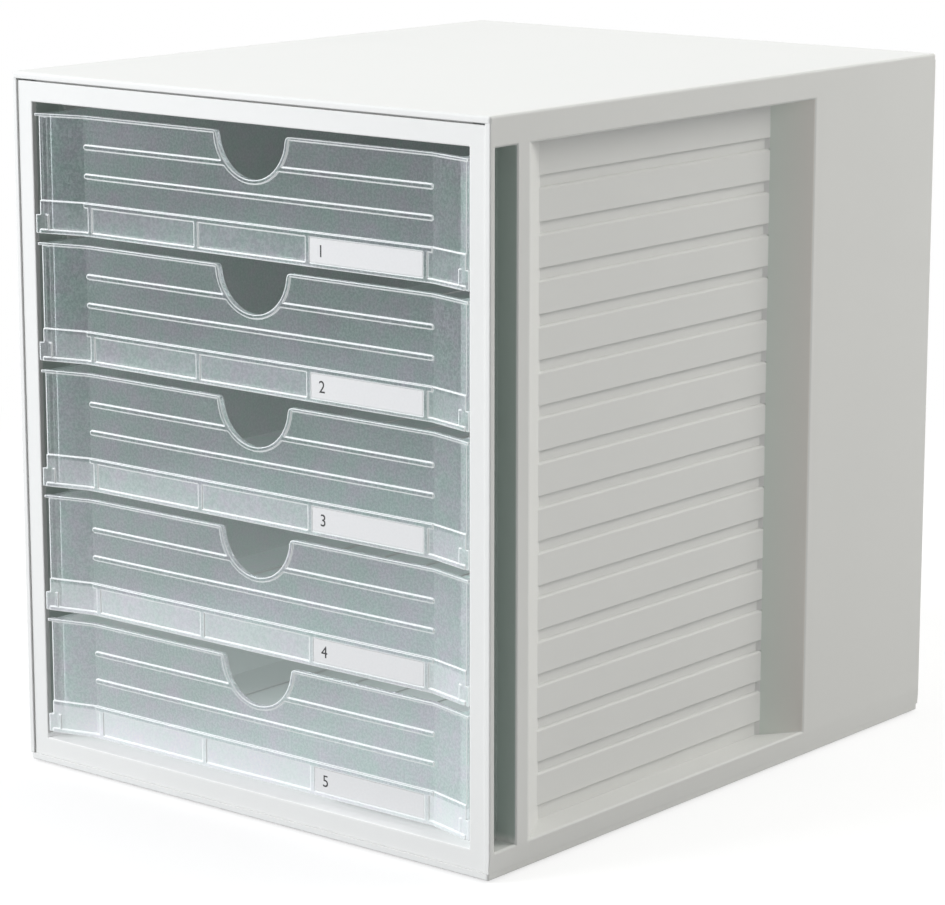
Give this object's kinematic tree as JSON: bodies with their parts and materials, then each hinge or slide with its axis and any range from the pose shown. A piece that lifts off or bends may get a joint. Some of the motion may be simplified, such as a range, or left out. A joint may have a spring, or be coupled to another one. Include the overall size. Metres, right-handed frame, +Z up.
{
  "type": "desktop drawer organizer",
  "caption": "Box-shaped desk organizer with slatted sides and a stack of frosted drawers with concave fronts, finger notches and label fields.",
  "frame": {"origin": "centre of the footprint, on the surface that the feet stand on", "axes": "+X to the right of a person facing the drawers, +Y from the drawer fronts to the back, +Z up"},
  "size_m": [0.275, 0.33, 0.32],
  "materials": {
    "case_plastic": "semi-gloss white polystyrene",
    "drawer_plastic": "frosted clear polystyrene with polished edges",
    "card": "matt white card",
    "rubber_foot": "matt soft rubber"
  },
  "bodies": {
    "case": {"front_frame": "case_plastic", "top_panel": "case_plastic", "base_panel": "case_plastic", "back_panel": "case_plastic", "right_side_panel": "case_plastic", "left_side_panel": "case_plastic", "foot_front_left": "rubber_foot", "foot_front_right": "rubber_foot", "foot_back_left": "rubber_foot", "foot_back_right": "rubber_foot"},
    "drawer_1": {"drawer_1": "drawer_plastic", "label_card_1": "card"},
    "drawer_2": {"drawer_2": "drawer_plastic", "label_card_2": "card"},
    "drawer_3": {"drawer_3": "drawer_plastic", "label_card_3": "card"},
    "drawer_4": {"drawer_4": "drawer_plastic", "label_card_4": "card"},
    "drawer_5": {"drawer_5": "drawer_plastic", "label_card_5": "card"}
  },
  "joints": [
    {"name": "drawer_1_slide", "type": "slide", "parent": "case", "child": "drawer_1", "axis": [0, -1, 0], "range_m": [0, 0.2237]},
    {"name": "drawer_2_slide", "type": "slide", "parent": "case", "child": "drawer_2", "axis": [0, -1, 0], "range_m": [0, 0.2237]},
    {"name": "drawer_3_slide", "type": "slide", "parent": "case", "child": "drawer_3", "axis": [0, -1, 0], "range_m": [0, 0.2237]},
    {"name": "drawer_4_slide", "type": "slide", "parent": "case", "child": "drawer_4", "axis": [0, -1, 0], "range_m": [0, 0.2237]},
    {"name": "drawer_5_slide", "type": "slide", "parent": "case", "child": "drawer_5", "axis": [0, -1, 0], "range_m": [0, 0.2237]}
  ]
}
